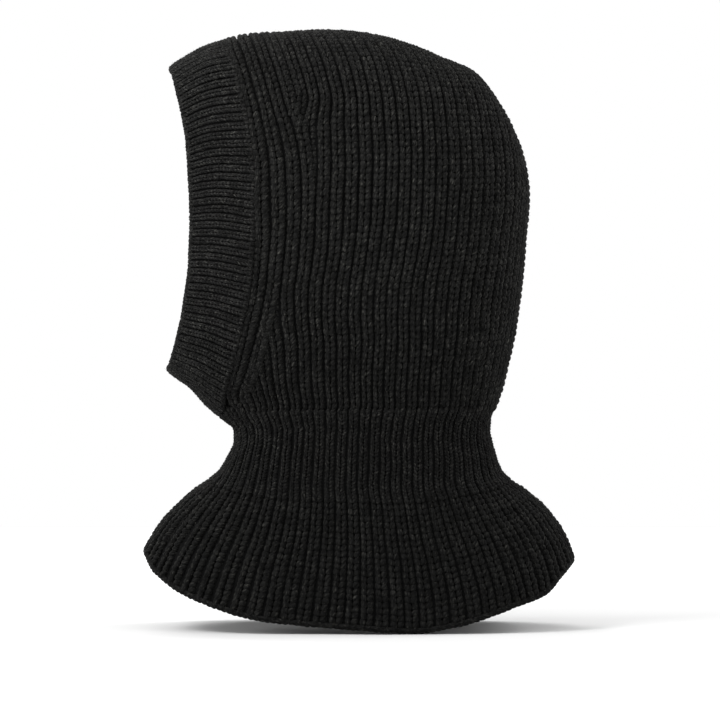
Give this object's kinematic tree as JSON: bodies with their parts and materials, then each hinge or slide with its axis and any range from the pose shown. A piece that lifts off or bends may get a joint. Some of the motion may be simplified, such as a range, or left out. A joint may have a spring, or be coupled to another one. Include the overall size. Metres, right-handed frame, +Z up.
{
  "type": "balaclava",
  "caption": "Chunky knitted balaclava: ribbed hood with a wide ribbed face band, a tight neck and a flared bib.",
  "frame": {"origin": "inside of the crown on the middle plane, where the wearer's head holds the hood up", "axes": "+Z up, the face opening looks along -Y, +X to the wearer's left"},
  "size_m": [0.166, 0.2808, 0.3884],
  "materials": {
    "main_knit": "matt heathered black wool, fisherman's rib",
    "band_knit": "matt heathered black wool, fine one by one rib",
    "linking_yarn": "matt black wool yarn in a chain stitch"
  },
  "bodies": {
    "root": {"hood_body": "main_knit", "neck_rib": "main_knit", "bib_flare": "main_knit", "face_band": "band_knit", "face_edge_bind_off": "band_knit", "hem_bind_off": "main_knit", "face_band_seam": "linking_yarn", "crown_seam": "linking_yarn", "chin_seam": "linking_yarn", "front_seam": "linking_yarn"}
  },
  "joints": []
}
